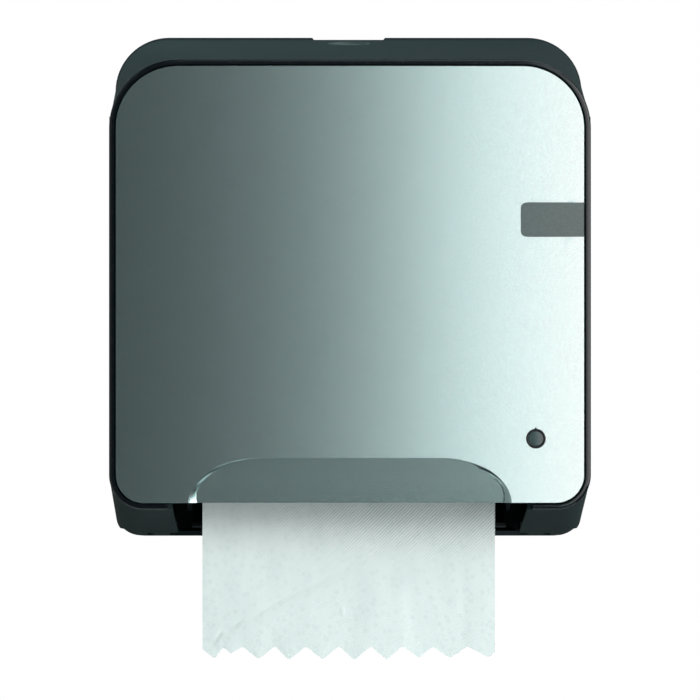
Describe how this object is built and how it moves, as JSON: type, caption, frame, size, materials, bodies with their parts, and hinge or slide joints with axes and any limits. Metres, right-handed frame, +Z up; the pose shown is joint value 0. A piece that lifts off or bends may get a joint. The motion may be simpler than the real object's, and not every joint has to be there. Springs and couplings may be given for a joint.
{
  "type": "wall-mounted autocut paper towel dispenser",
  "caption": "Wall-mounted autocut roll-towel dispenser: tapered cover with crowned silver front and hand scoop, roll on swing arms, drum with swinging serrated knife.",
  "frame": {"origin": "centre of the back plate's wall face, which lies in the plane y = 0", "axes": "+X to the right as seen from the front, +Z up, -Y away from the wall; +Y points into the wall"},
  "size_m": [0.3426, 0.2126, 0.449],
  "materials": {
    "casing_grey": "fine satin texture",
    "frame_grey": "moulded, matt",
    "bearing_white": "low-friction plastic",
    "steel": "ground bar",
    "spring_steel": "drawn wire",
    "towel_paper": "embossed, soft",
    "core_board": "wound board",
    "bead_black": "glossy",
    "panel_silver": "fine metallic paint, satin",
    "badge_grey": "satin, bare",
    "bezel_black": "satin",
    "lens_grey": "smoked",
    "lock_grey": "satin",
    "drum_grey": "moulded",
    "grip_rubber": "matt rubber",
    "wheel_blue": "moulded",
    "blade_steel": "ground strip"
  },
  "bodies": {
    "chassis": {"back_plate": "casing_grey", "hinge_pins": "steel", "left_frame": "frame_grey", "right_frame": "frame_grey", "drum_bushings": "bearing_white", "drum_guard": "frame_grey", "cam_shoe": "bearing_white", "left_roll_arm": "frame_grey", "left_roll_hub": "bearing_white", "arm_hinge_pin": "steel", "latch_housing": "frame_grey", "latch_spring": "spring_steel", "pawl_pin": "steel", "return_spring": "spring_steel", "towel_web": "towel_paper", "towel_tail": "towel_paper"},
    "cover": {"cover_shell": "casing_grey", "front_bead": "bead_black", "front_panel": "panel_silver", "badge_plate": "badge_grey", "window_bezel": "bezel_black", "window_lens": "lens_grey", "lock_insert": "lock_grey"},
    "latch_slider": {"latch": "bearing_white"},
    "swing_arm": {"right_roll_arm": "frame_grey", "right_roll_hub": "bearing_white"},
    "roll": {"towel_roll": "towel_paper", "roll_core": "core_board"},
    "drum": {"upper_drum_half": "drum_grey", "lower_drum_half": "drum_grey", "drum_grips": "grip_rubber", "left_drum_end": "drum_grey", "right_drum_end": "drum_grey", "knife_pin": "steel", "ratchet_wheel": "bearing_white", "hand_wheel": "wheel_blue", "crank_arm": "bearing_white"},
    "knife": {"knife_carrier": "frame_grey", "knife_blade": "blade_steel", "cam_follower": "bearing_white"},
    "pinch_roller": {"pinch_shaft": "steel", "pinch_sleeves": "grip_rubber"},
    "pawl_lever": {"pawl": "bearing_white"}
  },
  "joints": [
    {"name": "cover_hinge", "type": "hinge", "parent": "chassis", "child": "cover", "pos_m": [0, -0.014, -0.175], "axis": [1, 0, 0], "range_deg": [0, 85]},
    {"name": "latch_slide", "type": "slide", "parent": "chassis", "child": "latch_slider", "axis": [0, 0, -1], "range_m": [0, 0.0065], "stiffness_N_per_m": 400, "springref_m": -0.004, "deforming": ["latch_spring"]},
    {"name": "roll_arm_swing", "type": "hinge", "parent": "chassis", "child": "swing_arm", "pos_m": [0.115, -0.013, 0.062], "axis": [0, 0, 1], "range_deg": [0, 9], "stiffness_Nm_per_rad": 2, "springref_deg": -5.73},
    {"name": "roll_turn", "type": "hinge", "parent": "chassis", "child": "roll", "pos_m": [0, -0.105, 0.062], "axis": [1, 0, 0], "continuous": true},
    {"name": "drum_turn", "type": "hinge", "parent": "chassis", "child": "drum", "pos_m": [0, -0.12, -0.105], "axis": [1, 0, 0], "continuous": true, "deforming": ["towel_web", "return_spring"]},
    {"name": "pinch_turn", "type": "hinge", "parent": "chassis", "child": "pinch_roller", "pos_m": [0, -0.16104, -0.07626], "axis": [1, 0, 0], "continuous": true},
    {"name": "knife_swing", "type": "hinge", "parent": "drum", "child": "knife", "pos_m": [0, -0.09136, -0.11772], "axis": [1, 0, 0], "range_deg": [0, 32], "stiffness_Nm_per_rad": 0.08, "springref_deg": -20.05},
    {"name": "pawl_lift", "type": "hinge", "parent": "chassis", "child": "pawl_lever", "pos_m": [0, -0.088, -0.074], "axis": [-1, 0, 0], "range_deg": [-6, 15], "stiffness_Nm_per_rad": 0.002, "springref_deg": -17.19}
  ],
  "couplings": [
    {"joint": "roll_turn", "follows": "drum_turn", "ratio": -0.47059},
    {"joint": "pinch_turn", "follows": "drum_turn", "ratio": -4.4444}
  ]
}
